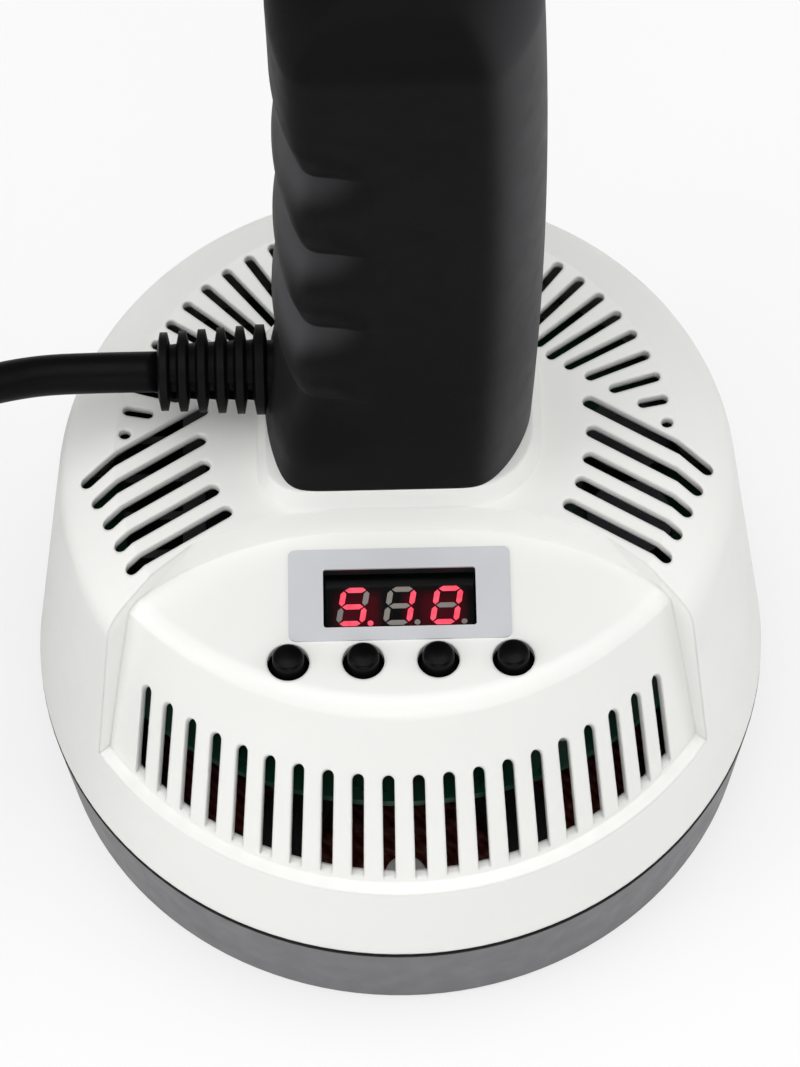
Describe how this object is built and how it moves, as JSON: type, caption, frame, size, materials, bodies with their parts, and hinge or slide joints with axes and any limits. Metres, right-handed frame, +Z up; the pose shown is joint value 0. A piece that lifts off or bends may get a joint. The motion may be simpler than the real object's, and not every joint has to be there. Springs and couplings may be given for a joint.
{
  "type": "handheld induction cap sealer",
  "caption": "Handheld induction cap sealer: vented drum housing on a flat sealing base, post handle with finger bulges, digital display, push-buttons and a coiled mains lead.",
  "frame": {"origin": "centre of the flat sealing face under the base", "axes": "+Z up along the drum's axis and the handle, +X to the viewer's right when the panel faces the viewer, -Y towards the panel"},
  "size_m": [0.262, 0.166, 0.218],
  "materials": {
    "grey_plastic": "satin grey moulded plastic",
    "white_plastic": "smooth white moulded plastic",
    "black_plastic": "satin black moulded plastic",
    "black_rubber": "soft black flexible jacket",
    "silver_film": "silver film",
    "display_black": "dark resin",
    "segment_grey": "unlit diffuser",
    "segment_red": "lit red diffuser",
    "board_green": "green lacquered board",
    "screw_steel": "plated steel",
    "ribbon_grey": "grey flat cable",
    "heatsink_metal": "extruded, bare",
    "capacitor_blue": "shrink sleeve",
    "capacitor_yellow": "yellow tape and resin",
    "block_green": "green moulded block",
    "lead_brown": "brown insulation",
    "lead_blue": "blue insulation",
    "lead_red": "red insulation",
    "coil_wire": "lacquered stranded wire",
    "former_brown": "brown moulded resin",
    "ferrite": "bare ferrite",
    "pin_brass": "nickel-plated brass"
  },
  "bodies": {
    "sealer": {"sealing_base": "grey_plastic", "housing": "white_plastic", "handle": "black_plastic", "strain_relief": "black_rubber", "display_label": "silver_film", "led_module": "display_black", "segments_off": "segment_grey", "segments_on": "segment_red", "tact_switches": "black_plastic", "display_board": "board_green", "display_screws": "screw_steel", "ribbon_cable": "ribbon_grey", "main_board": "board_green", "board_screws": "screw_steel", "heatsink": "heatsink_metal", "power_transistors": "display_black", "electrolytic_capacitors": "capacitor_blue", "film_capacitor": "capacitor_yellow", "transformer": "capacitor_yellow", "white_connector": "white_plastic", "terminal_block": "block_green", "mains_lead_brown": "lead_brown", "mains_lead_blue": "lead_blue", "coil_leads": "lead_red", "induction_coil": "coil_wire", "coil_former": "former_brown", "ferrite_bars": "ferrite", "fan_frame": "black_plastic", "fan_screws": "screw_steel", "base_screws": "screw_steel", "handle_screws": "screw_steel", "cord": "black_rubber", "cord_coil": "black_rubber", "cord_tail": "black_rubber", "cord_tie": "black_plastic", "mains_plug": "black_rubber", "plug_pins": "pin_brass"},
    "left_button": {"button_left": "black_plastic"},
    "mid_left_button": {"button_mid_left": "black_plastic"},
    "mid_right_button": {"button_mid_right": "black_plastic"},
    "right_button": {"button_right": "black_plastic"},
    "fan": {"fan_rotor": "black_plastic"}
  },
  "joints": [
    {"name": "left_button_press", "type": "slide", "parent": "sealer", "child": "left_button", "axis": [0, 0, -1], "range_m": [0, 0.0008], "stiffness_N_per_m": 600, "springref_m": -0.0004},
    {"name": "mid_left_button_press", "type": "slide", "parent": "sealer", "child": "mid_left_button", "axis": [0, 0, -1], "range_m": [0, 0.0008], "stiffness_N_per_m": 600, "springref_m": -0.0004},
    {"name": "mid_right_button_press", "type": "slide", "parent": "sealer", "child": "mid_right_button", "axis": [0, 0, -1], "range_m": [0, 0.0008], "stiffness_N_per_m": 600, "springref_m": -0.0004},
    {"name": "right_button_press", "type": "slide", "parent": "sealer", "child": "right_button", "axis": [0, 0, -1], "range_m": [0, 0.0008], "stiffness_N_per_m": 600, "springref_m": -0.0004},
    {"name": "fan_spin", "type": "hinge", "parent": "sealer", "child": "fan", "pos_m": [0, 0.02979, 0.0718], "axis": [0, 0, 1], "continuous": true}
  ]
}
